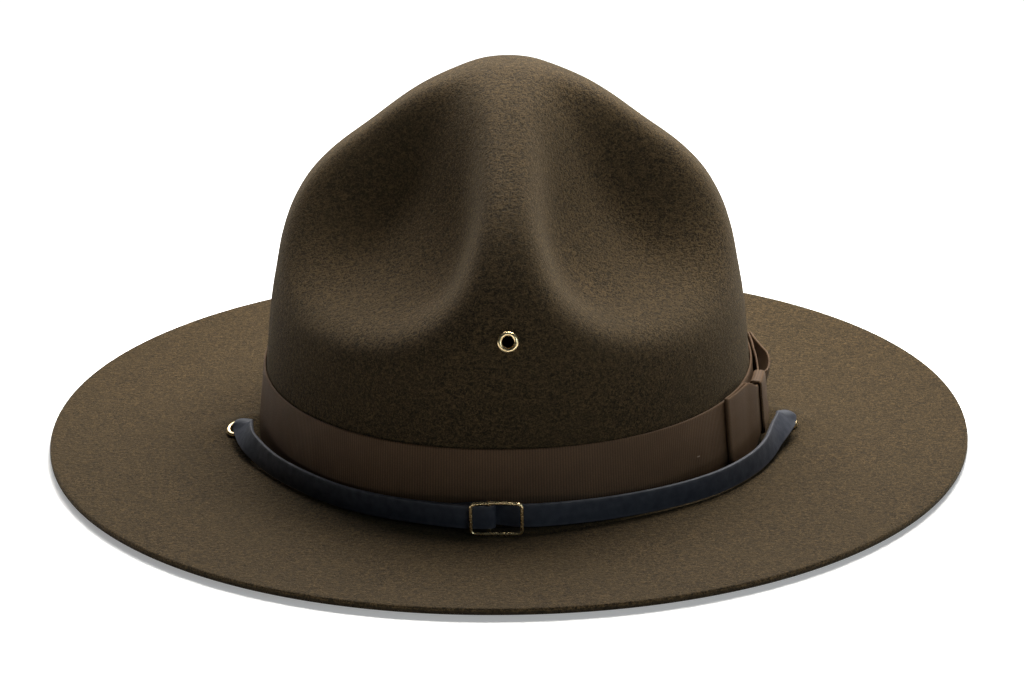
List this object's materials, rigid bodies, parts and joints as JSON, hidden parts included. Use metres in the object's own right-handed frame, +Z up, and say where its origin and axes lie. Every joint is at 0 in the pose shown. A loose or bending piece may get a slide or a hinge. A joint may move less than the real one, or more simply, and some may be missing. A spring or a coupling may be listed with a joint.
{
  "type": "campaign hat",
  "caption": "Stiff wide-brimmed felt campaign hat with a four-dented peak, ribbon band with a flat bow, and a buckled leather strap through brass brim eyelets.",
  "frame": {"origin": "on the resting surface, at the bottom centre of the hat's box, under the middle of the head opening", "axes": "+Z up; the front of the hat, with the buckle and the vent eyelet, faces -Y; +X is the side with the bow"},
  "size_m": [0.324, 0.3564, 0.1362],
  "materials": {
    "felt": "matt brown-olive wool felt with a short nap",
    "ribbon": "dark brown grosgrain with fine upright ribs",
    "leather": "smooth blue-black leather, satin",
    "brass": "polished brass"
  },
  "bodies": {
    "root": {"felt_body": "felt", "ribbon_band": "ribbon", "bow": "ribbon", "bow_knot": "ribbon", "strap": "leather", "buckle": "brass", "crown_eyelet": "brass", "brim_eyelet_left": "brass", "brim_eyelet_right": "brass"}
  },
  "joints": []
}
